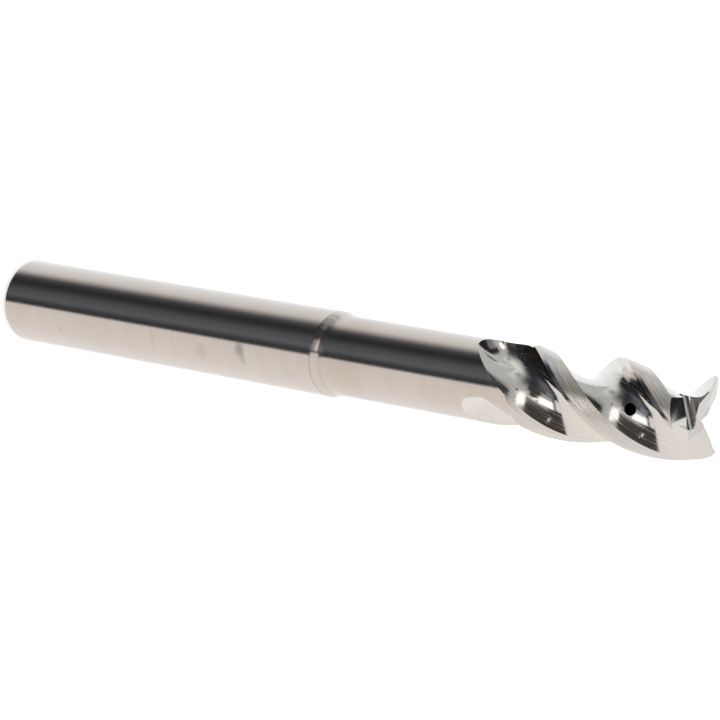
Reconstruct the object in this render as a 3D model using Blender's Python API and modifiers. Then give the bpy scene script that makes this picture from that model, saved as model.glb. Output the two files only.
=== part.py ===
"""A long-neck corner radius end mill in solid carbide, with three flutes and coolant through the shank.

The tool stands on its shank end, with its axis on +Z and its cutting end up. It is one ground piece, so
it is one object: a turned blank, cut by helical flutes, end reliefs, gashes and coolant holes.
Angles around the axis are in degrees from +X, and a tooth's own frame has the cutting edge along +X and
the flute in front of it on the side of +Y.
"""

import math

import bmesh
import bpy
from mathutils import Matrix, Vector

MM = 0.001

# Blank
CUTTING_DIAMETER = 12.0 * MM
SHANK_DIAMETER = 12.0 * MM
NECK_DIAMETER = 11.1 * MM
OVERALL_LENGTH = 125.0 * MM
SHANK_LENGTH = 62.5 * MM
HEAD_LENGTH = 27.5 * MM
SHANK_CHAMFER = 0.5 * MM
STEP_CONE_LENGTH = 1.4 * MM
STEP_BLEND_LENGTH = 1.25 * MM
HEAD_CONE_LENGTH = 0.9 * MM
CORNER_RADIUS = 0.3 * MM

# Flutes
FLUTE_COUNT = 3
HELIX_ANGLE = 39.0
LONG_TOOTH_LAG = 4.5
CORE_DIAMETER = 5.2 * MM
RADIAL_RAKE = 15.0
LAND_ANGLE = 30.0
MARGIN_ANGLE = 6.0
LAND_RELIEF = 0.75 * MM
RUNOUT_OVERLAP = 5.0 * MM
RUNOUT_LENGTH = 14.0 * MM
RUNOUT_TRAVEL = 6.5 * MM
RUNOUT_POWER = 4.4
RUNOUT_LEAN = 18.0
FIRST_TOOTH_ANGLE = -70.5

# End teeth
DISH_ANGLE = 2.5
PRIMARY_WIDTH = 1.0 * MM
PRIMARY_CLEARANCE = 9.0
SECONDARY_CLEARANCE = 24.0
RELIEF_REACH = 1.4 * MM
LONG_RELIEF_REACH = -0.35 * MM

# Gashes, which open the flutes at the centre: a flat facet ahead of every tooth, placed by its outer end
# in the tooth's frame, the way it faces, its slope, its width and its run, and a groove on the long tooth
LONG_FACET_START = (3.5 * MM, -0.05 * MM)
LONG_FACET_ANGLES = (56.0, 66.5)
LONG_FACET_SPAN = (3.3 * MM, 2.2 * MM)
CENTRE_FACET_START = (4.8 * MM, -0.05 * MM)
CENTRE_FACET_ANGLES = (90.0, 50.0)
CENTRE_FACET_SPAN = (5.4 * MM, 2.5 * MM)
SHORT_FACET_START = (2.9 * MM, 0.0 * MM)
SHORT_FACET_ANGLES = (56.0, 33.0)
SHORT_FACET_SPAN = (3.3 * MM, 2.9 * MM)
GROOVE_RADIUS = 0.8 * MM
GROOVE_START = (-1.5 * MM, 1.41 * MM)
GROOVE_HEADING = 14.0
GROOVE_DESCENT = 27.0
GROOVE_LEAN = 8.0

# Coolant
CHANNEL_DIAMETER = 2.0 * MM
EXIT_DIAMETER = 1.7 * MM
EXIT_FROM_TIP = 9.15 * MM
EXIT_LEAD_ANGLE = 60.0

# Fineness of the faceted surfaces
TURNED_STEPS = 72
STATION_TWIST = 7.0
HOOK_STEPS = 9
BACK_STEPS = 5
RELIEF_STEPS = 3
CORNER_STEPS = 6
BLEND_STEPS = 5
GROOVE_STEPS = 8
CHANNEL_STEPS = 24
EXIT_STEPS = 20

# Edges sharper than this stay crisp in the shading
CRISP_ANGLE = 28.0

# Colour and finish
CARBIDE_COLOUR = (0.62, 0.60, 0.58, 1.0)
CARBIDE_ROUGHNESS = 0.22

# Values that follow from the sizes above
RADIUS = CUTTING_DIAMETER / 2
CORE_RADIUS = CORE_DIAMETER / 2
NECK_RADIUS = NECK_DIAMETER / 2
SHANK_RADIUS = SHANK_DIAMETER / 2
TOOTH_PITCH = 360.0 / FLUTE_COUNT
LONG_TOOTH = FLUTE_COUNT - 1
HEAD_START = OVERALL_LENGTH - HEAD_LENGTH
CLEAR_RADIUS = 1.7 * max(RADIUS, SHANK_RADIUS)
OVERRUN = 2.0 * MM
MERGE = 1e-6


def polar(radius, degrees):
    """A point in the plane at a radius and an angle."""
    turn = math.radians(degrees)
    return Vector((radius * math.cos(turn), radius * math.sin(turn)))


def edge_angle(tooth, height):
    """Where a tooth's cutting edge stands around the axis at a height.

    The teeth are evenly spaced where the head starts. From there to the tip the long tooth falls a few
    degrees behind its even place, as on tools that are ground against chatter.
    """
    turn_per_length = math.degrees(math.tan(math.radians(HELIX_ANGLE)) / RADIUS)
    angle = FIRST_TOOTH_ANGLE + TOOTH_PITCH * tooth + turn_per_length * (height - OVERALL_LENGTH)
    if tooth % FLUTE_COUNT == LONG_TOOTH:
        angle -= LONG_TOOTH_LAG * (height - HEAD_START) / HEAD_LENGTH
    return angle


def smooth(value):
    """A step that rises smoothly from 0 to 1."""
    value = min(max(value, 0.0), 1.0)
    return value * value * (3 - 2 * value)


def make_collection(name):
    collection = bpy.data.collections.new(name)
    bpy.context.scene.collection.children.link(collection)
    return collection


def make_object(name, mesh, collection):
    thing = bpy.data.objects.new(name, mesh)
    collection.objects.link(thing)
    return thing


def make_cutter(name, mesh, collection):
    cutter = make_object(name, mesh, collection)
    cutter.hide_render = True
    cutter.display_type = "WIRE"


def cut(target, cutters):
    """Cuts a whole collection of cutters out of the target at once."""
    modifier = target.modifiers.new("Grind", "BOOLEAN")
    modifier.operation = "DIFFERENCE"
    modifier.solver = "EXACT"
    modifier.operand_type = "COLLECTION"
    modifier.collection = cutters


def lofted_mesh(name, rings):
    """A closed solid through rings of points, with a flat cap on the first and the last ring."""
    work = bmesh.new()
    rows = [[work.verts.new(point) for point in ring] for ring in rings]
    for low, high in zip(rows, rows[1:]):
        count = len(low)
        for i in range(count):
            j = (i + 1) % count
            work.faces.new((low[i], low[j], high[j]))
            work.faces.new((low[i], high[j], high[i]))
    work.faces.new(reversed(rows[0]))
    work.faces.new(rows[-1])
    bmesh.ops.triangulate(work, faces=work.faces)
    bmesh.ops.recalc_face_normals(work, faces=work.faces)
    mesh = bpy.data.meshes.new(name)
    work.to_mesh(mesh)
    work.free()
    return mesh


def cylinder_mesh(name, radius, start, end, segments):
    """A closed cylinder between two points."""
    start = Vector(start)
    along = Vector(end) - start
    work = bmesh.new()
    bmesh.ops.create_cone(
        work, cap_ends=True, segments=segments, radius1=radius, radius2=radius, depth=along.length)
    turn = along.to_track_quat("Z", "Y").to_matrix().to_4x4()
    bmesh.ops.transform(work, matrix=Matrix.Translation(start + along / 2) @ turn, verts=work.verts)
    bmesh.ops.triangulate(work, faces=work.faces)
    mesh = bpy.data.meshes.new(name)
    work.to_mesh(mesh)
    work.free()
    return mesh


def prism_mesh(name, outline, depth, placing):
    """An outline in the YZ plane, drawn out along X from 0 to depth, then placed by a matrix."""
    rings = []
    for x in (0.0, depth):
        rings.append([placing @ Vector((x, y, z)) for y, z in outline])
    return lofted_mesh(name, rings)


# Blank

def corner_points():
    """The corner radius, from the end face round to the outside."""
    centre_radius = RADIUS - CORNER_RADIUS
    centre_height = OVERALL_LENGTH - CORNER_RADIUS
    points = []
    for step in range(CORNER_STEPS + 1):
        turn = math.pi / 2 * (1 - step / CORNER_STEPS)
        radius = centre_radius + CORNER_RADIUS * math.cos(turn)
        points.append((radius, centre_height + CORNER_RADIUS * math.sin(turn)))
    return points


def step_points():
    """The shoulder from the neck down to the shank: a hollow blend, then a shallow cone."""
    slope = (SHANK_RADIUS - NECK_RADIUS) / (STEP_CONE_LENGTH + STEP_BLEND_LENGTH / 2)
    cone_top = SHANK_RADIUS - slope * STEP_CONE_LENGTH
    points = []
    for step in range(BLEND_STEPS, -1, -1):
        run = STEP_BLEND_LENGTH * step / BLEND_STEPS
        radius = cone_top - slope * (run - run * run / (2 * STEP_BLEND_LENGTH))
        points.append((radius, SHANK_LENGTH + STEP_CONE_LENGTH + run))
    points.append((SHANK_RADIUS, SHANK_LENGTH))
    return points


def blank_profile():
    points = [(0.0, OVERALL_LENGTH)]
    points += corner_points()
    points.append((RADIUS, HEAD_START + HEAD_CONE_LENGTH))
    points.append((NECK_RADIUS, HEAD_START))
    points += step_points()
    points.append((SHANK_RADIUS, SHANK_CHAMFER))
    points.append((SHANK_RADIUS - SHANK_CHAMFER, 0.0))
    points.append((0.0, 0.0))
    return points


def make_blank(collection):
    points = blank_profile()
    mesh = bpy.data.meshes.new("end_mill")
    edges = [(i, i + 1) for i in range(len(points) - 1)]
    mesh.from_pydata([(radius, 0.0, height) for radius, height in points], edges, [])
    blank = make_object("end_mill", mesh, collection)
    turning = blank.modifiers.new("Turn", "SCREW")
    turning.axis = "Z"
    turning.angle = math.tau
    turning.steps = TURNED_STEPS
    turning.render_steps = TURNED_STEPS
    turning.use_merge_vertices = True
    turning.merge_threshold = MERGE
    return blank


# Flutes

def arc_between(centre, start, end, clockwise, steps):
    """Points along an arc, without the first one."""
    first = math.atan2(start.y - centre.y, start.x - centre.x)
    last = math.atan2(end.y - centre.y, end.x - centre.x)
    sweep = (last - first) % math.tau
    if clockwise:
        sweep -= math.tau
    radius = (start - centre).length
    points = []
    for step in range(1, steps + 1):
        turn = first + sweep * step / steps
        points.append(centre + radius * Vector((math.cos(turn), math.sin(turn))))
    return points


def flute_section(pitch):
    """One flute across the axis, from the cutting edge down to the core and out to the next heel.

    The hook is an arc through the cutting edge, at the radial rake, that touches the core. The back is
    an arc that leaves the core where the hook touches it and ends at the heel of the next tooth.
    """
    rake = math.radians(RADIAL_RAKE)
    edge = Vector((RADIUS, 0.0))
    hook_radius = (RADIUS ** 2 - CORE_RADIUS ** 2) / (2 * (RADIUS * math.sin(rake) + CORE_RADIUS))
    hook_centre = edge + hook_radius * Vector((-math.sin(rake), math.cos(rake)))
    outward = hook_centre.normalized()
    root = CORE_RADIUS * outward
    heel = polar(RADIUS - LAND_RELIEF, pitch - LAND_ANGLE)
    to_heel = heel - root
    back_radius = to_heel.length_squared / (2 * outward.dot(to_heel))
    back_centre = root + back_radius * outward
    points = [edge]
    points += arc_between(hook_centre, edge, root, True, HOOK_STEPS)
    points += arc_between(back_centre, root, heel, back_radius > 0, BACK_STEPS)
    return points


def runout_shift(height):
    """How far the cutter has moved out of the flute at a height, leaning towards the back of the tooth."""
    past = max(HEAD_START + RUNOUT_OVERLAP - height, 0.0) / RUNOUT_LENGTH
    return polar(RUNOUT_TRAVEL * past ** RUNOUT_POWER, TOOTH_PITCH - LAND_ANGLE + RUNOUT_LEAN)


def flute_ring(tooth, height):
    """The cutter's outline at one height: the flute, the relief of the land behind it, and a clear rim."""
    angle = edge_angle(tooth, height)
    pitch = edge_angle(tooth + 1, height) - angle
    section = flute_section(pitch)
    rake_out = Vector((math.cos(math.radians(RADIAL_RAKE)), math.sin(math.radians(RADIAL_RAKE))))
    relief_end = pitch - MARGIN_ANGLE
    outline = list(section)
    ground = smooth((height - HEAD_START) / HEAD_CONE_LENGTH + 1)
    for step in range(1, RELIEF_STEPS + 1):
        share = step / RELIEF_STEPS
        degrees = relief_end - (1 - share) * (LAND_ANGLE - MARGIN_ANGLE)
        relieved = RADIUS - LAND_RELIEF * (1 - share)
        open_radius = RADIUS + 0.5 * LAND_RELIEF
        outline.append(polar(open_radius + ground * (relieved - open_radius), degrees))
    for share in (0.0, 0.25, 0.5, 0.75):
        outline.append(polar(CLEAR_RADIUS, relief_end * (1 - share)))
    outline.append(section[0] + (CLEAR_RADIUS - RADIUS) * rake_out)
    shift = runout_shift(height)
    turn = Matrix.Rotation(math.radians(angle), 2)
    ring = []
    for point in outline:
        spot = turn @ (point + shift)
        ring.append((spot.x, spot.y, height))
    return ring


def make_flute_cutters(collection):
    low = HEAD_START + RUNOUT_OVERLAP - RUNOUT_LENGTH
    high = OVERALL_LENGTH + OVERRUN
    stations = math.ceil((edge_angle(0, high) - edge_angle(0, low)) / STATION_TWIST)
    for tooth in range(FLUTE_COUNT):
        rings = []
        for station in range(stations + 1):
            rings.append(flute_ring(tooth, low + (high - low) * station / stations))
        name = "flute_cutter_%d" % (tooth + 1)
        make_cutter(name, lofted_mesh(name, rings), collection)


# End teeth

def tooth_frame(tooth):
    """The frame of a tooth: the axis at the height of the end face, with the cutting edge along +X."""
    turn = math.radians(edge_angle(tooth, OVERALL_LENGTH))
    return Matrix.Translation((0, 0, OVERALL_LENGTH)) @ Matrix.Rotation(turn, 4, "Z")


def relief_outline():
    """The end relief across a tooth: a narrow primary land, then a steeper secondary one."""
    ahead = RADIUS
    behind = RADIUS
    primary = math.tan(math.radians(PRIMARY_CLEARANCE))
    secondary = math.tan(math.radians(SECONDARY_CLEARANCE))
    drop = PRIMARY_WIDTH * primary
    return [
        (ahead, RADIUS),
        (-behind, RADIUS),
        (-behind, -drop - (behind - PRIMARY_WIDTH) * secondary),
        (-PRIMARY_WIDTH, -drop),
        (ahead, ahead * primary),
    ]


def make_relief_cutter(tooth, collection):
    """A prism over one end tooth, tilted about its corner by the dish angle."""
    corner = Matrix.Translation((RADIUS, 0, 0))
    dish = Matrix.Rotation(-math.radians(DISH_ANGLE), 4, "Y")
    reach = LONG_RELIEF_REACH if tooth == LONG_TOOTH else RELIEF_REACH
    inner = Matrix.Translation((reach - RADIUS, 0, 0))
    name = "relief_cutter_%d" % (tooth + 1)
    placing = tooth_frame(tooth) @ corner @ dish @ inner
    mesh = prism_mesh(name, relief_outline(), RADIUS - reach + OVERRUN, placing)
    make_cutter(name, mesh, collection)


def groove_outline():
    """The groove across its run: an upright wall, a round root and a wall that leans away."""
    lean = math.radians(GROOVE_LEAN)
    outline = [(-GROOVE_RADIUS, 2 * RADIUS)]
    for step in range(GROOVE_STEPS + 1):
        turn = math.pi + (math.pi - lean) * step / GROOVE_STEPS
        outline.append((GROOVE_RADIUS * math.cos(turn), GROOVE_RADIUS + GROOVE_RADIUS * math.sin(turn)))
    rise = 2 * RADIUS
    last = outline[-1]
    outline.append((last[0] + (rise - last[1]) * math.tan(lean), rise))
    return outline


def make_groove_cutter(collection):
    """The round-bottomed groove that runs down from the long tooth's inner end into its flute."""
    start = Matrix.Translation((GROOVE_START[0], GROOVE_START[1], 0))
    heading = Matrix.Rotation(math.radians(GROOVE_HEADING), 4, "Z")
    descent = Matrix.Rotation(math.radians(GROOVE_DESCENT), 4, "Y")
    back = Matrix.Translation((-RADIUS, 0, 0))
    placing = tooth_frame(LONG_TOOTH) @ start @ heading @ descent @ back
    mesh = prism_mesh("groove_cutter", groove_outline(), 3 * RADIUS, placing)
    make_cutter("groove_cutter", mesh, collection)


def make_facet_cutter(tooth, collection):
    """A box whose floor is the facet, which runs down from the end face into the flute."""
    facets = (
        (LONG_FACET_START, LONG_FACET_ANGLES, LONG_FACET_SPAN),
        (CENTRE_FACET_START, CENTRE_FACET_ANGLES, CENTRE_FACET_SPAN),
        (SHORT_FACET_START, SHORT_FACET_ANGLES, SHORT_FACET_SPAN),
    )
    start, angles, span = facets[min(LONG_TOOTH - tooth, 2)]
    width, run = span
    corner = Matrix.Translation((start[0], start[1], 0))
    heading = Matrix.Rotation(math.radians(angles[0]), 4, "Z")
    slope = Matrix.Rotation(math.radians(angles[1]), 4, "Y")
    back = Matrix.Translation((-OVERRUN, 0, 0))
    outline = [(0, 0), (width, 0), (width, RADIUS), (0, RADIUS)]
    name = "facet_cutter_%d" % (tooth + 1)
    placing = tooth_frame(tooth) @ corner @ heading @ slope @ back
    make_cutter(name, prism_mesh(name, outline, OVERRUN + run, placing), collection)


def make_end_cutters(collection):
    for tooth in range(FLUTE_COUNT):
        make_relief_cutter(tooth, collection)
        make_facet_cutter(tooth, collection)
    make_groove_cutter(collection)


# Coolant

def make_coolant_cutters(collection):
    """A blind hole up the axis from the shank end, and a hole from it out into each flute."""
    exit_height = OVERALL_LENGTH - EXIT_FROM_TIP
    channel_radius = CHANNEL_DIAMETER / 2
    bottom = (0, 0, -OVERRUN)
    top = (0, 0, exit_height + max(channel_radius, EXIT_DIAMETER / 2 + MERGE))
    channel = cylinder_mesh("channel_cutter", channel_radius, bottom, top, CHANNEL_STEPS)
    make_cutter("channel_cutter", channel, collection)
    for tooth in range(FLUTE_COUNT):
        degrees = edge_angle(tooth, exit_height) + EXIT_LEAD_ANGLE
        inner = polar(0.3 * channel_radius, degrees)
        outer = polar(RADIUS + OVERRUN, degrees)
        name = "exit_cutter_%d" % (tooth + 1)
        start = (inner.x, inner.y, exit_height)
        end = (outer.x, outer.y, exit_height)
        hole = cylinder_mesh(name, EXIT_DIAMETER / 2, start, end, EXIT_STEPS)
        make_cutter(name, hole, collection)


# Finish

def make_carbide():
    material = bpy.data.materials.new("ground_carbide")
    material.use_nodes = True
    shader = material.node_tree.nodes["Principled BSDF"]
    shader.inputs["Base Color"].default_value = CARBIDE_COLOUR
    shader.inputs["Metallic"].default_value = 1.0
    shader.inputs["Roughness"].default_value = CARBIDE_ROUGHNESS
    return material


def finish(thing):
    """Applies the cuts, then shades the ground surfaces smooth between their edges."""
    graph = bpy.context.evaluated_depsgraph_get()
    mesh = bpy.data.meshes.new_from_object(thing.evaluated_get(graph))
    thing.modifiers.clear()
    thing.data = mesh
    mesh.name = thing.name
    mesh.shade_smooth()
    mesh.set_sharp_from_angle(angle=math.radians(CRISP_ANGLE))


def build():
    for thing in list(bpy.data.objects):
        bpy.data.objects.remove(thing, do_unlink=True)
    tool = make_collection("corner_radius_end_mill")
    cutters = make_collection("cutters")
    end_mill = make_blank(tool)
    end_mill.data.materials.append(make_carbide())
    make_coolant_cutters(cutters)
    make_flute_cutters(cutters)
    make_end_cutters(cutters)
    cut(end_mill, cutters)
    finish(end_mill)


build()
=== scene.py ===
# %% [markdown]
# A long-neck corner radius end mill, ground from one rod of solid carbide.
# This file dresses the plain solid model with fine surfaces and finishes: a shank ground round the
# axis, flutes polished like mirrors, brushed lands, and satin end teeth.
# The real tool is cut by grinding wheels from a round blank, so the fine version is made the same way:
# a turned blank, one cutter for each pass of a wheel, and one Boolean that takes them all away at once.

import math

import bpy
import numpy as np
from mathutils import Matrix


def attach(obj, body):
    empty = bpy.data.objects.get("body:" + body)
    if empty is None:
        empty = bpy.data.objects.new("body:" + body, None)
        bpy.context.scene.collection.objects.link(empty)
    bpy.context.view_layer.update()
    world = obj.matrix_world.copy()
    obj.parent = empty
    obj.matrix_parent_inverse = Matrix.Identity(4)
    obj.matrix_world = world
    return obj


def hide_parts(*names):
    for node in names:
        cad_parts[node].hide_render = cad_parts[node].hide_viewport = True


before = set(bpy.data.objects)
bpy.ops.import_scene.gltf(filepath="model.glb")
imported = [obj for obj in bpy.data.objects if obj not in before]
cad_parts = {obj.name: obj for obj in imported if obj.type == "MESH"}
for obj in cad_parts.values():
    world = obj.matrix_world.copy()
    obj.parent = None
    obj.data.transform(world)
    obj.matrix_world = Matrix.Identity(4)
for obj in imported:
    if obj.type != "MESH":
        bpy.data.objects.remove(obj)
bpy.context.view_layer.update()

# %% [markdown]
# The sizes are those of the solid model, in metres. Angles round the axis are in degrees from +X.
# The tool stands on its shank end with its tip up, so a height along +Z is a place along the tool.

# %% Sizes of the tool
MM = 0.001
RADIUS = 6.0 * MM
NECK_RADIUS = 5.55 * MM
LENGTH = 125.0 * MM
SHANK_LENGTH = 62.5 * MM
HEAD_LENGTH = 27.5 * MM
HEAD_START = LENGTH - HEAD_LENGTH
HELIX = math.tan(math.radians(39.0)) / RADIUS
PITCH = 120.0
CORE_RADIUS = 2.6 * MM
RAKE = 15.0
LAND = 30.0
MARGIN = 6.0
RELIEF = 0.63 * MM
FIRST_TOOTH = -70.5
LAG = 4.5
LONG_TOOTH = 2
CLEAR = 1.7 * RADIUS
OVERRUN = 2.0 * MM
print("helix turns once in %.1f mm" % (2 * math.pi / HELIX / MM))

# %% [markdown]
# Each cutter is a closed grid: rings of points stacked along a path. One helper turns a whole stack
# into a mesh of triangles, which a Boolean likes best because a triangle is always flat.
# Each band of the grid can carry its own material, and the Boolean passes it on to the cut surface.

# %% Helpers for grids
tool_parts = bpy.data.collections.new("end_mill_fine")
bpy.context.scene.collection.children.link(tool_parts)
wheels = bpy.data.collections.new("grinding_wheels")
bpy.context.scene.collection.children.link(wheels)


def grid_mesh(name, rings, bands, materials):
    """A closed solid from rings, an array of (rings, points, 3), with flat ends.

    Point j of ring i joins point j+1 and the same two on ring i+1, as two triangles, and the first
    and last rings are closed by fans. bands[j] is the material number of the band that starts at j.
    The volume, the sum of a . (b x c) / 6, shows by its sign if the faces must be turned outward.
    """
    count, around = rings.shape[:2]
    at = np.arange(count * around).reshape(count, around)
    low, low_next = at[:-1], np.roll(at, -1, 1)[:-1]
    high, high_next = at[1:], np.roll(at, -1, 1)[1:]
    first = np.stack([low, low_next, high_next], -1)
    second = np.stack([low, high_next, high], -1)
    sides = np.stack([first, second], 2).reshape(-1, 3)
    numbers = np.tile(np.repeat(bands, 2), count - 1)
    inner = np.arange(1, around - 1)
    foot = np.stack([np.zeros_like(inner), inner + 1, inner], -1)
    head = np.stack([np.zeros_like(inner), inner, inner + 1], -1) + (count - 1) * around
    faces = np.concatenate([sides, foot, head])
    numbers = np.concatenate([numbers, np.full(2 * len(inner), bands[0])])
    points = rings.reshape(-1, 3)
    corners = points[faces]
    volume = (corners[:, 0] * np.cross(corners[:, 1], corners[:, 2])).sum() / 6
    faces = faces if volume > 0 else faces[:, ::-1]
    mesh = bpy.data.meshes.new(name)
    mesh.from_pydata(points, [], faces)
    for material in materials:
        mesh.materials.append(material)
    mesh.polygons.foreach_set("material_index", numbers.astype(np.int32))
    mesh.update()
    return mesh


def add_object(name, mesh, collection):
    """A new object with this mesh, linked into a collection."""
    thing = bpy.data.objects.new(name, mesh)
    collection.objects.link(thing)
    return thing


def add_wheel(name, mesh):
    """A cutter: it stays in the file for the Boolean, unseen."""
    wheel = add_object(name, mesh, wheels)
    wheel.hide_render = True
    wheel.display_type = "WIRE"
    return wheel


print("collections:", tool_parts.name, wheels.name)

# %% [markdown]
# Every wheel and drill leaves its own finish, so one tool needs several materials. They are made now,
# still empty, because a cutter names the material of each of its bands. Their nodes follow later.

# %% Materials, still empty
FINISHES = ("ground_shank", "polished_flute", "brushed_land", "satin_end", "satin_gash", "coarse_gash_painted_reflection",
            "round_groove", "rough_side", "bored_hole_painted_shade")
finish = {}
for title in FINISHES:
    finish[title] = bpy.data.materials.new(title)
    finish[title].use_nodes = True
print("finishes:", ", ".join(finish))

# %% [markdown]
# The blank is a surface of revolution: a profile of radius against height, carried round the axis.
# The neck is a little thinner than the shank, and a shallow cone with a hollow blend joins them.
# The rows crowd where the profile bends and are wide apart on the straight stretches. One more row
# just before the cone keeps the smooth shading of its edge off the long straight shank.

# %% Profile of the blank
CHAMFER = 0.5 * MM
SHOULDER_CONE = 1.05 * MM
SHOULDER_BLEND = 1.6 * MM
SHOULDER_SLOPE = 0.285
ROW_BEFORE_CONE = 0.1 * MM
HEAD_CONE = 0.9 * MM
CORNER = 0.3 * MM


def blank_profile():
    """Radius and height from the shank's end to the tip.

    The cone falls at a steady slope, and the blend after it is a parabola whose slope fades to none:
    neck radius + what is left to fall * (1 - run / blend length) squared. The corner is a quarter
    circle: radius - corner + corner * cos t.
    """
    run = np.linspace(0, SHOULDER_BLEND, 13)
    left = RADIUS - SHOULDER_SLOPE * SHOULDER_CONE - NECK_RADIUS
    blend_radius = NECK_RADIUS + left * (1 - run / SHOULDER_BLEND) ** 2
    turn = np.linspace(0, math.pi / 2, 9)
    radii = [[RADIUS - CHAMFER, RADIUS], [RADIUS, RADIUS], blend_radius, [NECK_RADIUS, RADIUS],
             RADIUS - CORNER + CORNER * np.cos(turn)]
    heights = [[0.0, CHAMFER], [SHANK_LENGTH - ROW_BEFORE_CONE, SHANK_LENGTH],
               SHANK_LENGTH + SHOULDER_CONE + run, [HEAD_START, HEAD_START + HEAD_CONE],
               LENGTH - CORNER + CORNER * np.sin(turn)]
    return np.concatenate(radii), np.concatenate(heights)


profile_radii, profile_heights = blank_profile()
print("profile of", len(profile_radii), "points")

# %% [markdown]
# In Blender a Screw modifier could turn the profile. Here one line of numpy does it, because the same
# grid helper then serves the blank and its cutters.

# %% Blank


def make_blank(around=288):
    """The profile carried round the axis: x = r cos t, y = r sin t, z = height."""
    radii, heights = profile_radii, profile_heights
    turn = np.arange(around) * 2 * math.pi / around
    rings = np.stack([
        radii[:, None] * np.cos(turn),
        radii[:, None] * np.sin(turn),
        np.repeat(heights[:, None], around, 1),
    ], -1)
    mesh = grid_mesh("end_mill_body", rings, np.zeros(around, int), [finish["ground_shank"]])
    return add_object("end_mill_body", mesh, tool_parts)


body = make_blank()
print("blank:", len(body.data.polygons), "triangles")

# %% [markdown]
# Everything on the head is placed by an angle round the axis, and that angle turns with the height.
# A cutting edge is a helix. The long tooth lags a little behind an even pitch, more so towards the
# tip, which breaks up the rhythm of the cut and so its chatter.

# %% Angles round the axis


def on_circle(radius, degrees):
    """Points at a radius and an angle in degrees: (r cos a, r sin a)."""
    turn = np.radians(degrees)
    return np.stack(np.broadcast_arrays(radius * np.cos(turn), radius * np.sin(turn)), -1)


def edge_angle(tooth, height):
    """The angle of a cutting edge at a height: it turns evenly, and the long tooth falls behind."""
    angle = FIRST_TOOTH + PITCH * tooth + np.degrees(HELIX) * (height - LENGTH)
    late = LAG if tooth % 3 == LONG_TOOTH else 0.0
    return angle - late * (height - HEAD_START) / HEAD_LENGTH


print("edges at the tip:", [round(float(edge_angle(tooth, LENGTH)), 1) for tooth in range(3)], "degrees")

# %% [markdown]
# A flute is the space that a wheel clears ahead of a tooth. Across the axis it is two arcs: the hook,
# which leaves the cutting edge at the rake angle and touches the core, and the back, which runs from
# the core out to the heel of the next tooth. The land behind that heel rises slowly to its own edge.

# %% Section of a flute, worked out for many heights at once


def arc(centre, start, end, clockwise, steps):
    """Arcs about centres, from start to end without the start: centre + r (cos a, sin a)."""
    first = np.arctan2(*(start - centre).T[::-1])
    last = np.arctan2(*(end - centre).T[::-1])
    sweep = (last - first) % (2 * math.pi)
    sweep = np.where(clockwise, sweep - 2 * math.pi, sweep)
    radius = np.linalg.norm(start - centre, axis=-1)
    share = np.arange(1, steps + 1) / steps
    turn = first[:, None] + sweep[:, None] * share
    ring = np.stack([np.cos(turn), np.sin(turn)], -1)
    return centre[:, None] + radius[:, None, None] * ring


def flute_section(pitch, hook_steps=26, back_steps=22):
    """Edge, hook arc and back arc, for an array of pitches to the next tooth.

    The hook's radius is (R^2 - c^2) / (2 (R sin rake + c)), which makes it pass the edge at the rake
    angle and touch the core circle of radius c.
    """
    rake = math.radians(RAKE)
    edge = np.array([RADIUS, 0.0])
    hook_radius = (RADIUS ** 2 - CORE_RADIUS ** 2) / (2 * (RADIUS * math.sin(rake) + CORE_RADIUS))
    centre = edge + hook_radius * np.array([-math.sin(rake), math.cos(rake)])
    outward = centre / np.linalg.norm(centre)
    many = np.ones((len(pitch), 1))
    edges, centres, roots = edge * many, centre * many, CORE_RADIUS * outward * many
    heel = on_circle(RADIUS - RELIEF, pitch - LAND)
    to_heel = heel - roots
    back_radius = (to_heel ** 2).sum(-1) / (2 * (to_heel @ outward))
    back_centre = roots + back_radius[:, None] * outward
    hook = arc(centres, edges, roots, True, hook_steps)
    back = arc(back_centre, roots, heel, back_radius > 0, back_steps)
    return np.concatenate([edges[:, None], hook, back], 1)


sample = flute_section(np.array([PITCH]))[0]
root = np.linalg.norm(sample, axis=1).min() / MM
print("section of", len(sample), "points, root at", np.round(root, 2), "mm")

# %% [markdown]
# The wheel follows the helix, and near the neck it swings out of the work along a curve, which leaves
# the long scoop where each flute fades out. The whole cutter is one array: heights by points.

# %% Path and rings of a flute cutter
WHEEL_START = HEAD_START - 9.0 * MM
SWING_START = HEAD_START + 5.0 * MM
SWING_LENGTH = 14.0 * MM
SWING_OUT = 6.5 * MM
SWING_POWER = 4.4
SWING_LEAN = 18.0


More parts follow.
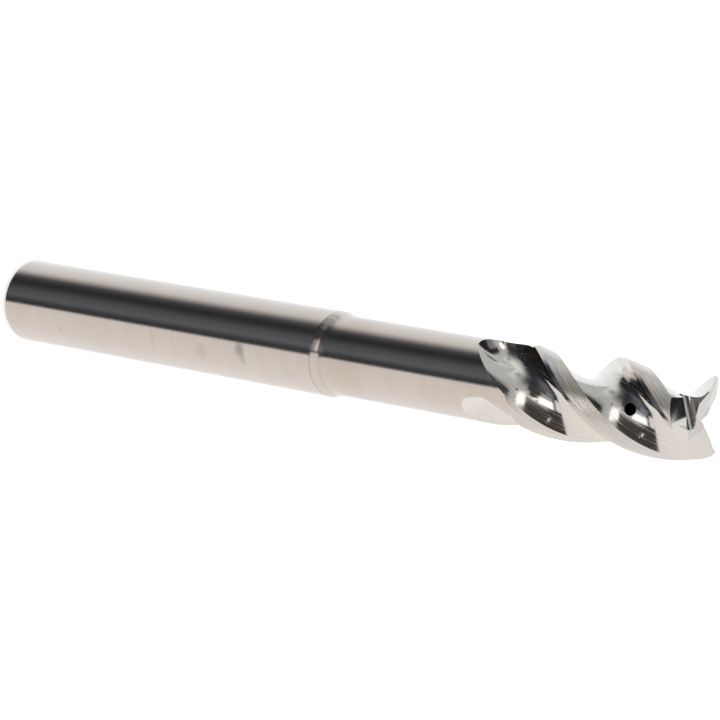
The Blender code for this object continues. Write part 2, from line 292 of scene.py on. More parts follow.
def flute_rings(tooth, stations=170):
    """The section at each height, swung out towards the neck and turned by the helix.

    The swing is a shift of SWING_OUT * share ** SWING_POWER, where the share grows from 0 at
    SWING_START downwards. The turn is x cos a - y sin a, x sin a + y cos a.
    """
    height = np.linspace(WHEEL_START, LENGTH + OVERRUN, stations)
    angle = edge_angle(tooth, height)
    pitch = edge_angle(tooth + 1, height) - angle
    section = flute_section(pitch)
    share = np.linspace(0, 1, 13)[1:]
    rise = np.clip((height - HEAD_START) / HEAD_CONE + 1, 0, 1)
    ground = (rise * rise * (3 - 2 * rise))[:, None]
    opened = RADIUS + 0.5 * RELIEF
    relieved = opened + ground * (RADIUS - RELIEF * (1 - share) - opened)
    land = on_circle(relieved, pitch[:, None] - MARGIN - (1 - share) * (LAND - MARGIN))
    rim = on_circle(CLEAR, (pitch[:, None] - MARGIN) * np.array([1.0, 0.75, 0.5, 0.25]))
    rake = math.radians(RAKE)
    last = section[:, :1] + (CLEAR - RADIUS) * np.array([math.cos(rake), math.sin(rake)])
    outline = np.concatenate([section, land, rim, last], 1)
    past = np.clip(SWING_START - height, 0, None) / SWING_LENGTH
    outline = outline + on_circle(SWING_OUT * past ** SWING_POWER, PITCH - LAND + SWING_LEAN)[:, None]
    turn = np.radians(angle)[:, None]
    x = outline[..., 0] * np.cos(turn) - outline[..., 1] * np.sin(turn)
    y = outline[..., 0] * np.sin(turn) + outline[..., 1] * np.cos(turn)
    rings = np.stack([x, y, np.broadcast_to(height[:, None], x.shape)], -1)
    bands = np.ones(outline.shape[1], int)
    flute_end = section.shape[1] - 1
    bands[:flute_end] = 0
    return rings, bands


print("a flute's rings:", flute_rings(0)[0].shape)

# %% [markdown]
# One cutter is made for each flute. Its bands name two finishes: the flute is polished, and the land
# that the same cutter leaves behind the next edge is only brushed.

# %% Flute cutters
for tooth in range(3):
    rings, bands = flute_rings(tooth)
    name = "flute_wheel_%d" % (tooth + 1)
    mesh = grid_mesh(name, rings, bands, [finish["polished_flute"], finish["brushed_land"]])
    add_wheel(name, mesh)
    print(name, len(mesh.polygons), "triangles")

# %% [markdown]
# The end teeth are ground flat. Each has a narrow primary land behind its edge and a steeper
# secondary one, both dished so that the corner leads. Each cut is a prism with one floor that counts.
# It is placed in the tooth's own frame, where the edge runs along +X and the flute lies towards +Y.

# %% Helpers that place a prism


def turned(degrees, axis):
    """A matrix that turns about an axis by its name."""
    return Matrix.Rotation(math.radians(degrees), 4, axis)


def moved(x, y, z=0.0):
    """A matrix that moves."""
    return Matrix.Translation((x, y, z))


def tooth_frame(tooth):
    """The axis at the height of the end face, turned to the tooth's edge."""
    return moved(0, 0, LENGTH) @ turned(float(edge_angle(tooth, LENGTH)), "Z")


def prism(name, outline, depth, placing, bands, materials):
    """An outline of (y, z) drawn out along X from 0 to depth, then placed by a matrix."""
    outline = np.asarray(outline, float)
    flat = np.concatenate([np.zeros((len(outline), 1)), outline], 1)
    rings = np.stack([flat, flat + np.array([depth, 0, 0])])
    matrix = np.array(placing)
    rings = rings @ matrix[:3, :3].T + matrix[:3, 3]
    return add_wheel(name, grid_mesh(name, rings, np.asarray(bands), materials))


print("frame of the long tooth stands at", round(tooth_frame(LONG_TOOTH).translation.z / MM, 1), "mm")

# %% [markdown]
# The long tooth's relief runs over the centre, because its edge does. The others stop short of it.

# %% End reliefs
DISH = 2.5
REACH = {0: 1.4 * MM, 1: 1.4 * MM, LONG_TOOTH: -0.35 * MM}


def relief_outline(width=0.75 * MM, primary=9.0, secondary=24.0):
    """Across the tooth: a primary slope for the width of the land, then the secondary slope."""
    first, second = math.tan(math.radians(primary)), math.tan(math.radians(secondary))
    drop = width * first
    return [(RADIUS, RADIUS), (-RADIUS, RADIUS), (-RADIUS, -drop - (RADIUS - width) * second),
            (-width, -drop), (RADIUS, RADIUS * first)]


for tooth, reach in REACH.items():
    placing = tooth_frame(tooth) @ moved(RADIUS, 0) @ turned(-DISH, "Y") @ moved(reach - RADIUS, 0)
    prism("relief_wheel_%d" % (tooth + 1), relief_outline(), RADIUS - reach + OVERRUN, placing,
          [0] * 5, [finish["satin_end"]])
print("end reliefs on 3 teeth")

# %% [markdown]
# Gashes open the flutes at the centre, so that chips can leave the end teeth. Each tooth has one flat
# facet. A row says where its corner starts in the tooth's frame, in mm, which way it heads, how
# steeply it falls, and how wide it is and how far it runs.

# %% Flat gashes
FACETS = {
    0: dict(start=(2.9, 0.0), heading=56.0, slope=33.0, width=3.3, run=2.15, look="satin_gash"),
    1: dict(start=(4.8, -0.05), heading=90.0, slope=50.0, width=4.4, run=2.5, look="satin_gash"),
    # The long tooth's facet is coloured darker: a painted dark reflection, on a coarser grind.
    2: dict(start=(3.5, -0.05), heading=56.0, slope=66.5, width=3.3, run=2.2, look="coarse_gash_painted_reflection"),
}
for tooth, cut in FACETS.items():
    corner = moved(cut["start"][0] * MM, cut["start"][1] * MM)
    placing = tooth_frame(tooth) @ corner @ turned(cut["heading"], "Z") @ turned(cut["slope"], "Y")
    width = cut["width"] * MM
    outline = [(0, 0), (width, 0), (width, RADIUS), (0, RADIUS)]
    prism("facet_wheel_%d" % (tooth + 1), outline, OVERRUN + cut["run"] * MM,
          placing @ moved(-OVERRUN, 0), [0, 1, 1, 1], [finish[cut["look"]], finish["rough_side"]])
print("gashes:", len(FACETS), "facets")

# %% [markdown]
# The long tooth, whose edge passes the centre, also has a round-bottomed groove, left by the rounded
# rim of a thin wheel. Its outline stands on the lowest point of the arc.

# %% Round groove
GROOVE_START = (-1.5 * MM, 1.55 * MM, -0.67 * MM)
GROOVE_HEADING = 14.0
GROOVE_SLOPE = 27.0


def groove_outline(radius=0.9 * MM, lean=8.0, steps=18):
    """An upright wall, an arc of the wheel's corner radius, and a wall that leans away."""
    lean = math.radians(lean)
    turn = math.pi + (math.pi - lean) * np.arange(steps + 1) / steps
    y, z = radius * np.cos(turn), radius + radius * np.sin(turn)
    rise = 2 * RADIUS
    return np.stack([
        np.concatenate([[-radius], y, [y[-1] + (rise - z[-1]) * math.tan(lean)]]),
        np.concatenate([[rise], z, [rise]]),
    ], -1)


placing = (tooth_frame(LONG_TOOTH) @ moved(*GROOVE_START) @ turned(GROOVE_HEADING, "Z")
           @ turned(GROOVE_SLOPE, "Y") @ moved(-RADIUS, 0))
outline = groove_outline()
prism("groove_wheel", outline, 3 * RADIUS, placing, [0] * len(outline), [finish["round_groove"]])
print("groove of", len(outline), "points")

# %% [markdown]
# Coolant runs up a hole in the shank and leaves through one outlet in each flute. The outlets lean
# 35 degrees towards the tip, so that the jet reaches the cut, and where one meets the flute it looks
# round from the front. The holes are cylinders: a circle carried along a straight line.

# %% Coolant holes
CHANNEL_RADIUS = 1.0 * MM
OUTLET_RADIUS = 0.78 * MM
OUTLET_HEIGHT = LENGTH - 9.15 * MM
OUTLET_TILT = math.radians(35.0)
OUTLET_LEAD = 60.0
MOUTH_RADIUS = 2.8 * MM
DRILL_INWARD = 3.2 * MM
DRILL_OUTWARD = 4.5 * MM


def drill(name, radius, start, end, around=64):
    """A cylinder between two points: centre + r (cos t u + sin t v), with u and v square to it."""
    start, end = np.array(start), np.array(end)
    along = (end - start) / np.linalg.norm(end - start)
    u = np.cross(along, [1.0, 0.0, 0.0] if abs(along[2]) > 0.5 else [0.0, 0.0, 1.0])
    u = u / np.linalg.norm(u)
    v = np.cross(along, u)
    turn = np.arange(around)[:, None] * 2 * math.pi / around
    circle = radius * (np.cos(turn) * u + np.sin(turn) * v)
    rings = np.stack([start + circle, end + circle])
    add_wheel(name, grid_mesh(name, rings, np.zeros(around, int), [finish["bored_hole_painted_shade"]]))


drill("channel_drill", CHANNEL_RADIUS, (0, 0, -OVERRUN), (0, 0, OUTLET_HEIGHT + CHANNEL_RADIUS))
for tooth in range(3):
    aim = on_circle(math.cos(OUTLET_TILT), edge_angle(tooth, OUTLET_HEIGHT) + OUTLET_LEAD)
    mouth = np.append(MOUTH_RADIUS * aim / math.cos(OUTLET_TILT), OUTLET_HEIGHT)
    way = np.append(aim, math.sin(OUTLET_TILT))
    drill("outlet_drill_%d" % (tooth + 1), OUTLET_RADIUS, mouth - DRILL_INWARD * way,
          mouth + DRILL_OUTWARD * way)
print("coolant outlets at", round(OUTLET_HEIGHT / MM, 2), "mm")

# %% [markdown]
# One Boolean removes all the cutters. It is applied at once, so the finished piece is a plain mesh:
# smooth over the ground surfaces, crisp at the cutting edges.

# %% Grind the blank
SHARP = math.radians(20.0)


def grind(thing):
    """Takes every cutter away, keeps the result as the mesh and marks the sharp edges."""
    pass_all = thing.modifiers.new("Grind", "BOOLEAN")
    pass_all.operation = "DIFFERENCE"
    pass_all.solver = "EXACT"
    pass_all.operand_type = "COLLECTION"
    pass_all.collection = wheels
    pass_all.material_mode = "TRANSFER"
    graph = bpy.context.evaluated_depsgraph_get()
    mesh = bpy.data.meshes.new_from_object(thing.evaluated_get(graph))
    thing.modifiers.clear()
    thing.data = mesh
    mesh.name = thing.name
    mesh.shade_smooth()
    mesh.set_sharp_from_angle(angle=SHARP)
    return mesh


ground = grind(body)
ground.calc_loop_triangles()
print("fine end mill:", len(ground.loop_triangles), "triangles,", [m.name for m in ground.materials])

# %% [markdown]
# Helpers for shader nodes keep the finishes readable. A number that is the same all over is set
# straight on the shader.

# %% Helpers for nodes


def node(tree, kind, **values):
    """A new node with its settings."""
    made = tree.nodes.new(kind)
    for key, value in values.items():
        setattr(made, key, value)
    return made


def maths(tree, operation, first, second=None, third=None):
    """A Math node, fed with sockets or plain numbers."""
    made = node(tree, "ShaderNodeMath", operation=operation)
    for slot, value in zip(made.inputs, (first, second, third)):
        if value is None:
            continue
        if isinstance(value, bpy.types.NodeSocket):
            tree.links.new(value, slot)
        else:
            slot.default_value = value
    return made.outputs[0]


def new_group(name, inputs, outputs):
    """A shader node group with named number or colour sockets."""
    group = bpy.data.node_groups.new(name, "ShaderNodeTree")
    for title, kind, value in inputs:
        made = group.interface.new_socket(title, in_out="INPUT", socket_type=kind)
        if value is not None:
            made.default_value = value
    for title, kind in outputs:
        group.interface.new_socket(title, in_out="OUTPUT", socket_type=kind)
    return group, node(group, "NodeGroupInput"), node(group, "NodeGroupOutput")


def combine(tree, x, y, z):
    """A vector from three sockets."""
    made = node(tree, "ShaderNodeCombineXYZ")
    for slot, value in zip(made.inputs, (x, y, z)):
        tree.links.new(value, slot)
    return made.outputs[0]


NUMBER = "NodeSocketFloat"
VECTOR = "NodeSocketVector"
print("node helpers ready")

# %% [markdown]
# Grinding round the axis leaves rings: marks that change quickly along the tool and slowly round it.
# The group squeezes a noise that way. It has inputs for how fine the marks are and how far they reach,
# so that one group serves the shank, the end and the gashes.

# %% Ring marks
MARK_INPUTS = [("Vector", VECTOR, None), ("Fineness", NUMBER, 8000.0), ("Reach", NUMBER, 60.0)]


def mark_noise(group, result, x, y, z):
    """Ends a group of marks: a noise with three octaves of detail, read at (x, y, z)."""
    noise = node(group, "ShaderNodeTexNoise")
    noise.inputs["Scale"].default_value = 1.0
    noise.inputs["Detail"].default_value = 3.0
    group.links.new(combine(group, x, y, z), noise.inputs["Vector"])
    group.links.new(noise.outputs["Fac"], result.inputs["Value"])


def make_ring_marks():
    """Noise of (x * reach, y * reach, z * fineness), so it is stretched round the axis."""
    group, given, result = new_group("ring_marks", MARK_INPUTS, [("Value", NUMBER)])
    parts = node(group, "ShaderNodeSeparateXYZ")
    group.links.new(given.outputs["Vector"], parts.inputs[0])
    x = maths(group, "MULTIPLY", parts.outputs[0], given.outputs["Reach"])
    y = maths(group, "MULTIPLY", parts.outputs[1], given.outputs["Reach"])
    z = maths(group, "MULTIPLY", parts.outputs[2], given.outputs["Fineness"])
    mark_noise(group, result, x, y, z)
    return group


ring_marks = make_ring_marks()
print("pattern group:", ring_marks.name)

# %% [markdown]
# The long marks of the flutes and lands follow the helix. This group first turns each point back by
# the helix, which makes every section of the head the same, and then stretches the noise along it.

# %% Helix marks


def make_helix_marks():
    """Noise in the section's own plane after the helix is turned back, so it runs along the flute."""
    group, given, result = new_group("helix_marks", MARK_INPUTS, [("Value", NUMBER)])
    parts = node(group, "ShaderNodeSeparateXYZ")
    group.links.new(given.outputs["Vector"], parts.inputs[0])
    back = node(group, "ShaderNodeVectorRotate", rotation_type="Z_AXIS")
    group.links.new(given.outputs["Vector"], back.inputs["Vector"])
    group.links.new(maths(group, "MULTIPLY", parts.outputs[2], -HELIX), back.inputs["Angle"])
    flat = node(group, "ShaderNodeSeparateXYZ")
    group.links.new(back.outputs[0], flat.inputs[0])
    x = maths(group, "MULTIPLY", flat.outputs[0], given.outputs["Fineness"])
    y = maths(group, "MULTIPLY", flat.outputs[1], given.outputs["Fineness"])
    z = maths(group, "MULTIPLY", parts.outputs[2], given.outputs["Reach"])
    mark_noise(group, result, x, y, z)
    return group


helix_marks = make_helix_marks()
print("pattern group:", helix_marks.name)

# %% [markdown]
# A stain is a soft spot. Its size is a vector, so a spot can be round, a short stroke, or a band right
# round the tool where the size across the axis is very large.

# %% Soft spot


def make_soft_spot():
    """1 close to a point, falling to 0 at a size.

    The distance is the length of (vector - centre) / size, and the fade runs from 1.0 back to 0.2.
    """
    group, given, result = new_group(
        "soft_spot", [("Vector", VECTOR, None), ("Centre", VECTOR, None), ("Size", VECTOR, None)],
        [("Value", NUMBER)])
    away = given.outputs["Vector"]
    for operation, title in (("SUBTRACT", "Centre"), ("DIVIDE", "Size"), ("LENGTH", None)):
        step = node(group, "ShaderNodeVectorMath", operation=operation)
        group.links.new(away, step.inputs[0])
        if title:
            group.links.new(given.outputs[title], step.inputs[1])
        away = step.outputs["Value" if title is None else "Vector"]
    fade = node(group, "ShaderNodeMapRange", interpolation_type="SMOOTHSTEP")
    fade.inputs["From Min"].default_value = 1.0
    fade.inputs["From Max"].default_value = 0.2
    group.links.new(away, fade.inputs[0])
    group.links.new(fade.outputs[0], result.inputs["Value"])
    return group


soft_spot = make_soft_spot()
print("pattern group:", soft_spot.name)

# %% [markdown]
# A pattern on Object coordinates sits still in the metal, as real grinding marks do. These helpers
# place a pattern in a material and turn its value into a colour, a roughness or a bump.

# %% Helpers that place a pattern in a material


def marks(tree, group, fineness, reach):
    """A pattern group on Object coordinates, with its own fineness and reach."""
    place = node(tree, "ShaderNodeTexCoord")
    made = node(tree, "ShaderNodeGroup", node_tree=group)
    tree.links.new(place.outputs["Object"], made.inputs["Vector"])
    made.inputs["Fineness"].default_value = fineness
    made.inputs["Reach"].default_value = reach
    return made.outputs["Value"]


def ramp(tree, value, stops):
    """Colours along a value: stops are (place, colour)."""
    made = node(tree, "ShaderNodeValToRGB")
    made.color_ramp.interpolation = "LINEAR"
    while len(made.color_ramp.elements) < len(stops):
        made.color_ramp.elements.new(1.0)
    for stop, (place, colour) in zip(made.color_ramp.elements, stops):
        stop.position = place
        stop.color = (*colour, 1.0)
    tree.links.new(value, made.inputs[0])
    return made.outputs[0]


def blend(tree, share, first, second):
    """A mix of two colours, each a socket or plain numbers."""
    made = node(tree, "ShaderNodeMix", data_type="RGBA")
    for slot, value in ((made.inputs[0], share), (made.inputs[6], first), (made.inputs[7], second)):
        if isinstance(value, bpy.types.NodeSocket):
            tree.links.new(value, slot)
        elif isinstance(value, tuple):
            slot.default_value = (*value, 1.0)
        else:
            slot.default_value = value
    return made.outputs[2]


def to_range(tree, value, low, high, start=0.0, end=1.0):
    """Carries start to low and end to high, and holds the value between them."""
    made = node(tree, "ShaderNodeMapRange")
    tree.links.new(value, made.inputs[0])
    for slot, number in zip(made.inputs[1:5], (start, end, low, high)):
        slot.default_value = number
    return made.outputs[0]


def bump(tree, height, distance):
    """A normal from a height, with the depth of the marks in metres."""
    made = node(tree, "ShaderNodeBump")
    made.inputs["Distance"].default_value = distance
    made.inputs["Strength"].default_value = 1.0
    tree.links.new(height, made.inputs["Height"])
    return made.outputs[0]


def carbide(title, colour, roughness, marks_height=None, distance=None, metallic=1.0):
    """Links a colour, a roughness and a bump into the material's Principled shader."""
    tree = finish[title].node_tree
    shader = tree.nodes["Principled BSDF"]
    shader.inputs["Metallic"].default_value = metallic
    for value, slot in ((colour, "Base Color"), (roughness, "Roughness")):
        if isinstance(value, bpy.types.NodeSocket):
            tree.links.new(value, shader.inputs[slot])
        else:
            shader.inputs[slot].default_value = (*value, 1.0) if isinstance(value, tuple) else value
    if marks_height is not None:
        tree.links.new(bump(tree, marks_height, distance), shader.inputs["Normal"])


print("pattern helpers ready")

# %% [markdown]
# The shank and neck are ground round the axis: warm grey, with faint rings and a few handling stains.
# The stains are soft spots at fixed places: a grey smudge, three faint brown marks and a browner neck.
# Two thin dark rings at the shoulder are painted shade where the profile bends. A row holds centre,
# size, strength and colour.

# %% Ground shank
CARBIDE = (0.63, 0.555, 0.50)


def paint_spots(tree, colour, spots):
    """Blends each spot's colour over the metal, by its mask times its strength."""
    place = node(tree, "ShaderNodeTexCoord")
    for centre, size, strength, shade in spots:
        made = node(tree, "ShaderNodeGroup", node_tree=soft_spot)
        tree.links.new(place.outputs["Object"], made.inputs["Vector"])
        made.inputs["Centre"].default_value = centre
        made.inputs["Size"].default_value = size
        mask = maths(tree, "MULTIPLY", made.outputs["Value"], strength)
        colour = blend(tree, mask, colour, shade)
    return colour


tree = finish["ground_shank"].node_tree
fine = marks(tree, ring_marks, 16000.0, 120.0)
broad = marks(tree, ring_marks, 500.0, 160.0)
tint = ramp(tree, broad, [(0.3, (0.615, 0.54, 0.485)), (0.5, CARBIDE), (0.75, (0.645, 0.57, 0.515))])
stains_and_shade = (
    ((1.7 * MM, -5.75 * MM, 49.15 * MM), (1.5 * MM, 1.5 * MM, 1.3 * MM), 0.75, (0.27, 0.29, 0.30)),
    ((2.9 * MM, -5.2 * MM, 49.6 * MM), (1.4 * MM, 1.4 * MM, 0.9 * MM), 0.5, (0.33, 0.34, 0.34)),
    ((3.0 * MM, -5.2 * MM, 41.4 * MM), (2.0 * MM, 2.0 * MM, 1.7 * MM), 0.4, (0.50, 0.40, 0.33)),
    ((2.6 * MM, -5.4 * MM, 31.6 * MM), (2.2 * MM, 2.2 * MM, 0.6 * MM), 0.2, (0.42, 0.36, 0.31)),
    ((3.6 * MM, -4.8 * MM, 12.0 * MM), (1.2 * MM, 1.2 * MM, 0.6 * MM), 0.16, (0.36, 0.33, 0.30)),
    ((0.0, 0.0, 68.3 * MM), (1.0, 1.0, 6.0 * MM), 0.5, (0.56, 0.475, 0.415)),
    # The last two rows are painted shade: thin dark rings where the shoulder bends.
    ((0.0, 0.0, 62.5 * MM), (1.0, 1.0, 0.3 * MM), 0.3, (0.34, 0.29, 0.26)),
    ((0.0, 0.0, 64.0 * MM), (1.0, 1.0, 0.5 * MM), 0.15, (0.36, 0.31, 0.28)),
)
stained_and_shaded = paint_spots(tree, tint, stains_and_shade)
worn = blend(tree, to_range(tree, fine, 0.0, 0.08, 0.45, 0.75), stained_and_shaded, (0.50, 0.45, 0.41))
carbide("ground_shank", worn, to_range(tree, fine, 0.10, 0.15, 0.3, 0.7), fine, 4e-6)
print("ground shank made")

# %% [markdown]
# The flutes are polished so that chips slide. They are nearly mirrors, with fine lines along the
# helix. The lands are brushed the same way, and their grain splits the light into faint tints. They
# are set a little less than metallic. Real carbide is all metal, so that is only a choice of tone.

# %% Polished flutes and brushed lands
tree = finish["polished_flute"].node_tree
lines = marks(tree, helix_marks, 7000.0, 40.0)
tint = ramp(tree, lines, [(0.35, (0.68, 0.64, 0.60)), (0.55, (0.75, 0.70, 0.65)),
                          (0.7, (0.79, 0.75, 0.70))])
specks = (
    ((0.45 * MM, -3.75 * MM, 97.74 * MM), (0.28 * MM,) * 3, 0.85, (0.10, 0.09, 0.085)),
    ((0.75 * MM, -3.95 * MM, 97.6 * MM), (0.2 * MM,) * 3, 0.6, (0.16, 0.15, 0.14)),
    ((0.2 * MM, -3.5 * MM, 113.33 * MM), (0.25 * MM,) * 3, 0.8, (0.12, 0.10, 0.095)),
)
tint = paint_spots(tree, tint, specks)
carbide("polished_flute", tint, to_range(tree, lines, 0.03, 0.34, 0.50, 0.70), lines, 3.5e-6)

tree = finish["brushed_land"].node_tree
lines = marks(tree, helix_marks, 5200.0, 90.0)
broad = marks(tree, helix_marks, 1300.0, 220.0)
tint = ramp(tree, broad, [(0.3, (0.60, 0.62, 0.65)), (0.45, (0.70, 0.65, 0.60)),
                          (0.58, (0.70, 0.60, 0.52)), (0.7, (0.68, 0.67, 0.65))])
tint = blend(tree, to_range(tree, lines, 0.0, 0.45, 0.4, 0.7), tint, (0.42, 0.40, 0.39))
carbide("brushed_land", tint, to_range(tree, lines, 0.16, 0.30, 0.3, 0.7), lines, 4e-5, 0.85)
print("flutes and lands made")

# %% [markdown]
# The end is ground flat by flat, finely enough to gleam and too coarse to mirror. The coolant holes
# are dark inside, which is painted shade of the narrow bores. These finishes differ only in their
# numbers, so one loop makes them all.
# The short facet walls are set less than metallic too, again only for their tone.

# %% Satin end, gashes and holes
# Each row: fineness and reach, dark and light colour, smooth and rough, depth, and how metallic.
SATINS = {
    "satin_end": (3000.0, 3000.0, (0.66, 0.61, 0.565), (0.69, 0.64, 0.595), 0.10, 0.14, 3e-7, 1.0),
    "satin_gash": (2600.0, 5200.0, (0.50, 0.50, 0.47), (0.64, 0.63, 0.60), 0.10, 0.18, 1e-6, 1.0),
    "round_groove": (5200.0, 400.0, (0.66, 0.64, 0.61), (0.80, 0.78, 0.75), 0.18, 0.32, 5e-7, 1.0),
    # The coarse gash's dark colours are a painted reflection of the dark room.
    "coarse_gash_painted_reflection": (2600.0, 5200.0, (0.22, 0.22, 0.20), (0.36, 0.355, 0.34), 0.18, 0.30, 4e-6, 1.0),
    "rough_side": (4000.0, 4000.0, (0.66, 0.62, 0.58), (0.74, 0.70, 0.66), 0.45, 0.60, None, 0.6),
    # The hole's dark colours are painted shade of the narrow bore.
    "bored_hole_painted_shade": (6000.0, 2500.0, (0.10, 0.095, 0.09), (0.22, 0.21, 0.20), 0.45, 0.45, None, 1.0),
}
for title, (fineness, reach, dark, light, smooth, rough, depth, metallic) in SATINS.items():
    tree = finish[title].node_tree
    grain = marks(tree, ring_marks, fineness, reach)
    tint = ramp(tree, grain, [(0.3, dark), (0.7, light)])
    roughness = smooth if smooth == rough else to_range(tree, grain, smooth, rough, 0.3, 0.7)
    carbide(title, tint, roughness, None if depth is None else grain, depth, metallic)
print("end, gashes and holes made:", len(SATINS))

# %% [markdown]
# The fine body takes the place of the plain solid, and rides on it.

# %% Take the solid's place
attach(body, "root")
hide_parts("end_mill")
print(body.name, "rides on root")

# %% [markdown]
# Bright metal shows its surroundings, so the studio matters as much as the finish. The tool stands in
# a big pale tent. The tent is open on the camera's side, where the room is dark and holds a window.
# It is a sphere that only reflections see, so it changes nothing but the shine.

# %% Tent, a sphere round the tool


def make_tent(radius=10.0, around=96, up=48):
    """A sphere from two angles: r (cos e cos t, cos e sin t, sin e), closed at the poles."""
    turn = np.linspace(0, 2 * math.pi, around + 1)[:-1]
    rise = np.linspace(-math.pi / 2, math.pi / 2, up + 1)
    rings = radius * np.stack([
        np.cos(rise)[:, None] * np.cos(turn),
        np.cos(rise)[:, None] * np.sin(turn),
        np.repeat(np.sin(rise)[:, None], around, 1),
    ], -1)
    at = np.arange((up + 1) * around).reshape(up + 1, around)
    faces = np.stack([at[:-1], np.roll(at, -1, 1)[:-1], np.roll(at, -1, 1)[1:], at[1:]], -1)
    mesh = bpy.data.meshes.new("tent")
    mesh.from_pydata(rings.reshape(-1, 3), [], faces.reshape(-1, 4))
    mesh.update()
    return add_object("tent", mesh, bpy.context.scene.collection)


tent = make_tent()
cloth = bpy.data.materials.new("tent_cloth")
cloth.use_nodes = True
tent.data.materials.append(cloth)
tent.visible_camera = False
tent.visible_diffuse = False
tent.visible_shadow = False
tent.visible_transmission = False
print("tent of", len(tent.data.polygons), "faces")

# %% [markdown]
# The brightness of the cloth is a ramp over the angle round the axis, counted from the camera's side.
# Its dark stretch is the opening. Over that lie panels: soft-edged patches at an angle round the axis
# and a height angle, such as the window and the grey wall beside it. The last one, the deep shade,
# shows only in the reflection of a reflection. No real room does that: it is a stand-in for how dark
# the hollows of the flutes are.

# %% Cloth and panels
CLOTH = (
    (-180, (1.00, 1.03, 1.05)), (-152, (1.05, 1.11, 1.15)), (-128, (0.99, 1.05, 1.10)),
    (-104, (0.93, 0.97, 1.00)), (-90, (0.80, 0.82, 0.84)), (-80, (0.43, 0.45, 0.47)),
    (-70, (0.12, 0.13, 0.14)), (-60, (0.055, 0.061, 0.068)), (-49, (0.030, 0.036, 0.044)),
    (-38, (0.062, 0.070, 0.083)), (-28, (0.11, 0.123, 0.144)), (-8, (0.155, 0.172, 0.20)),
    (1, (0.082, 0.094, 0.112)), (8, (0.042, 0.050, 0.064)), (13.9, (0.038, 0.045, 0.058)),
    (16.9, (0.92, 0.92, 0.91)), (60, (0.99, 0.99, 0.97)), (112, (1.06, 1.08, 1.09)),
    (180, (0.98, 1.00, 1.02)),
)
# Each row: place round, height, half sizes, slope, softness round and in height, and the colour.
PANELS = (
    ("low room", -30, -72, 46, 20, 0.0, 8, 12, (0.024, 0.026, 0.030)),
    ("high room", -19, 26, 36, 54, 0.0, 4, 20, (0.060, 0.058, 0.056)),
    ("grey wall", -127, 36, 23, 60, -0.58, 7, 2, (0.58, 0.60, 0.61)),
    ("wall end", -89, -28, 9, 4, 0.0, 16, 9, (0.36, 0.37, 0.38)),
    ("near wall", -81, 21, 24, 40, 0.0, 8, 20, (0.54, 0.555, 0.57)),
    ("wall shade", -104, 18, 15, 20, 0.0, 22, 12, (0.22, 0.23, 0.24)),
    ("doorway", -133, 30, 20, 30, 0.0, 9, 5, (0.020, 0.021, 0.022)),
    ("rail", -106, 7, 20, 6.5, 0.14, 8, 4, (0.025, 0.026, 0.028)),
    ("left window", -63, 5, 8, 10, -0.4, 5, 8, (1.6, 1.6, 1.58)),
    ("pane", -54, -10, 4, 3, 0.0, 7, 7, (0.62, 0.62, 0.63)),
    ("haze", -32, -1, 22, 3, 0.0, 12, 11, (0.36, 0.365, 0.37)),
    ("bridge", -47, -4, 14, 2, 0.0, 10, 5, (0.9, 0.9, 0.9)),
    ("sill", -12, -20, 13, 4, 0.0, 6, 4, (0.42, 0.43, 0.46)),
    ("lower sill", -5, -29, 9, 3.5, 0.0, 8, 6, (0.27, 0.28, 0.31)),
    ("window", -14, -10, 16, 6.5, -0.08, 8, 5, (1.6, 1.6, 1.6)),
    ("window corner", -36, -6.5, 6, 1.5, -0.4, 3, 3, (1.4, 1.4, 1.4)),
    ("glint", -9, 15, 2.2, 1.6, -1.0, 2, 2, (1.4, 1.4, 1.38)),
    ("low glint", -14, 20, 1.4, 1.0, -1.0, 2, 2, (0.9, 0.9, 0.9)),
    ("curtain edge", 12, -16, 5, 10, 0.0, 3, 5, (0.92, 0.92, 0.91)),
    ("deep shade", -42, -24, 58, 40, 0.0, 24, 20, (0.02, 0.021, 0.023)),
)
print(len(CLOTH), "steps of cloth,", len(PANELS), "panels")

# %% [markdown]
# A panel is one more node group, because the tent uses twenty of them. It works on two angles, and its
# edges are eased, so that no reflection has a hard line that the metal didn't make.

# %% Soft panel


def make_soft_panel():
    """1 inside the half sizes, falling smoothly to 0 over the softness.

    Across: distance = |azimuth - place|. Up: |height - middle - slope * (azimuth - place)|.
    """
    titles = ("Azimuth", "Height", "Place", "Middle", "Half width", "Half height", "Slope",
              "Soft across", "Soft up")
    group, given, result = new_group("soft_panel", [(title, NUMBER, 0.0) for title in titles],
                                     [("Value", NUMBER)])
    off = maths(group, "SUBTRACT", given.outputs["Azimuth"], given.outputs["Place"])
    rise = maths(group, "SUBTRACT", given.outputs["Height"], given.outputs["Middle"])
    rise = maths(group, "SUBTRACT", rise, maths(group, "MULTIPLY", off, given.outputs["Slope"]))
    sides = []
    for away, half, soft in ((off, "Half width", "Soft across"), (rise, "Half height", "Soft up")):
        inside = maths(group, "SUBTRACT", given.outputs[half], maths(group, "ABSOLUTE", away))
        share = maths(group, "ADD", maths(group, "DIVIDE", inside, given.outputs[soft]), 0.5)
        eased = node(group, "ShaderNodeMapRange", interpolation_type="SMOOTHSTEP")
        group.links.new(share, eased.inputs[0])
        sides.append(eased.outputs[0])
    group.links.new(maths(group, "MULTIPLY", *sides), result.inputs["Value"])
    return group


soft_panel = make_soft_panel()
print("pattern group:", soft_panel.name)

# %% [markdown]
# The tent is lit by an emission, whose colour starts as the ramp and takes each panel over it in turn.

# %% Light the tent
SECOND_BOUNCE = 1.5


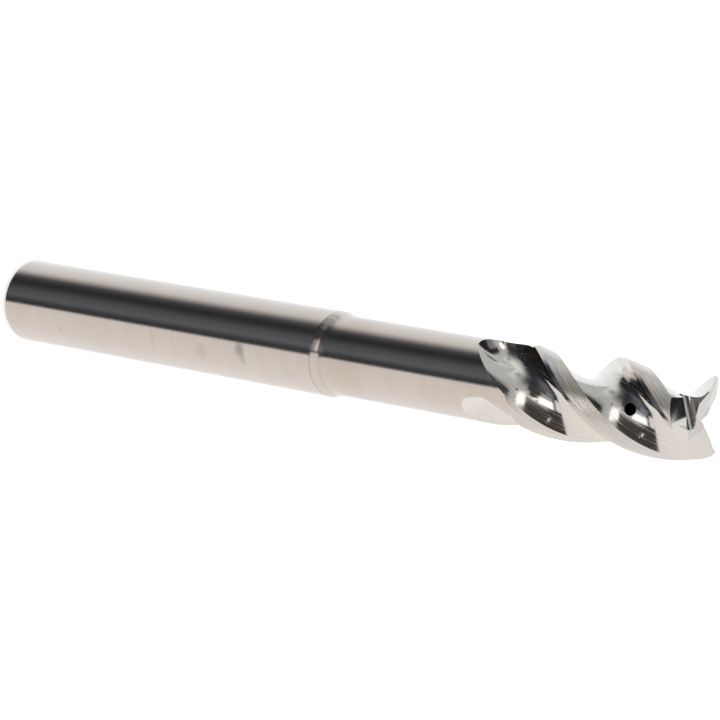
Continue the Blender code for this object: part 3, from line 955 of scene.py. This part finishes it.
def light_tent():
    """Azimuth = atan2(x, -y) and height = asin(z / distance), both in degrees."""
    tree = cloth.node_tree
    tree.nodes.clear()
    place = node(tree, "ShaderNodeTexCoord")
    straight = node(tree, "ShaderNodeVectorMath", operation="NORMALIZE")
    tree.links.new(place.outputs["Object"], straight.inputs[0])
    parts = node(tree, "ShaderNodeSeparateXYZ")
    tree.links.new(straight.outputs[0], parts.inputs[0])
    turn = maths(tree, "ARCTAN2", parts.outputs[0], maths(tree, "MULTIPLY", parts.outputs[1], -1.0))
    turn = maths(tree, "DEGREES", turn)
    rise = maths(tree, "DEGREES", maths(tree, "ARCSINE", parts.outputs[2]))
    lit = ramp(tree, to_range(tree, turn, 0.0, 1.0, -180.0, 180.0),
               [((angle + 180) / 360, colour) for angle, colour in CLOTH])
    path = node(tree, "ShaderNodeLightPath")
    deep = maths(tree, "GREATER_THAN", path.outputs["Glossy Depth"], SECOND_BOUNCE)
    for title, *numbers, colour in PANELS:
        panel = node(tree, "ShaderNodeGroup", node_tree=soft_panel, label=title)
        tree.links.new(turn, panel.inputs["Azimuth"])
        tree.links.new(rise, panel.inputs["Height"])
        for slot, number in zip(list(panel.inputs)[2:], numbers):
            slot.default_value = number
        mask = panel.outputs["Value"]
        if title == "deep shade":
            mask = maths(tree, "MULTIPLY", mask, deep)
        lit = blend(tree, mask, lit, colour)
    glow = node(tree, "ShaderNodeEmission")
    tree.links.new(lit, glow.inputs["Color"])
    out = node(tree, "ShaderNodeOutputMaterial")
    tree.links.new(glow.outputs[0], out.inputs["Surface"])


light_tent()
tent.location = (0, 0, HEAD_START)
print("tent lit from", round(tent.location.z / MM, 1), "mm up the tool")

# %% [markdown]
# The floor is plain and pale. It is white with a little light of its own, so that it stays white in
# the picture and still keeps the tool's soft shadow. The world is plain white.

# %% Floor and world


def make_floor(half=1.5):
    """A square in the ground plane."""
    corners = np.array([[-half, -half, 0], [half, -half, 0], [half, half, 0], [-half, half, 0]])
    mesh = bpy.data.meshes.new("floor")
    mesh.from_pydata(corners, [], [(0, 1, 2, 3)])
    mesh.update()
    return add_object("floor", mesh, bpy.context.scene.collection)


floor = make_floor()
floor.visible_glossy = False
paper = bpy.data.materials.new("white_paper")
paper.use_nodes = True
shader = paper.node_tree.nodes["Principled BSDF"]
shader.inputs["Base Color"].default_value = (0.80, 0.80, 0.80, 1.0)
shader.inputs["Roughness"].default_value = 0.9
shader.inputs["Specular IOR Level"].default_value = 0.0
shader.inputs["Emission Color"].default_value = (1.0, 1.0, 1.0, 1.0)
shader.inputs["Emission Strength"].default_value = 0.45
floor.data.materials.append(paper)

world = bpy.data.worlds.new("studio")
bpy.context.scene.world = world
world.use_nodes = True
sky = world.node_tree.nodes["Background"]
sky.inputs["Color"].default_value = (1.0, 1.0, 1.0, 1.0)
sky.inputs["Strength"].default_value = 1.0
bpy.context.scene.view_settings.view_transform = "Standard"
print("floor and world made")

# %% [markdown]
# The camera looks down on the standing tool and is rolled, so that the tool lies across the picture
# with its tip to the right. Its place and direction come from the outlines of shank, neck and ends.

# %% Camera
RIGHT = (-0.17416038, 0.65284622, 0.73719737)
DOWN = (0.98471716, 0.11506116, 0.13074039)
AHEAD = (0.00053058, 0.74870070, -0.66290797)
STANDPOINT = (0.0, -0.361212538, 0.386418699)
FOCAL_LENGTH = 175.5607
lens = bpy.data.cameras.new("camera")
lens.lens = FOCAL_LENGTH
lens.sensor_width = 36.0
lens.clip_start = 0.01
camera = bpy.data.objects.new("camera", lens)
bpy.context.scene.collection.objects.link(camera)
place = Matrix((RIGHT, DOWN, AHEAD)).transposed().to_4x4()
place.col[1] *= -1
place.col[2] *= -1
place.translation = STANDPOINT
camera.matrix_world = place
bpy.context.scene.camera = camera
print("camera", [round(v, 4) for v in camera.location])
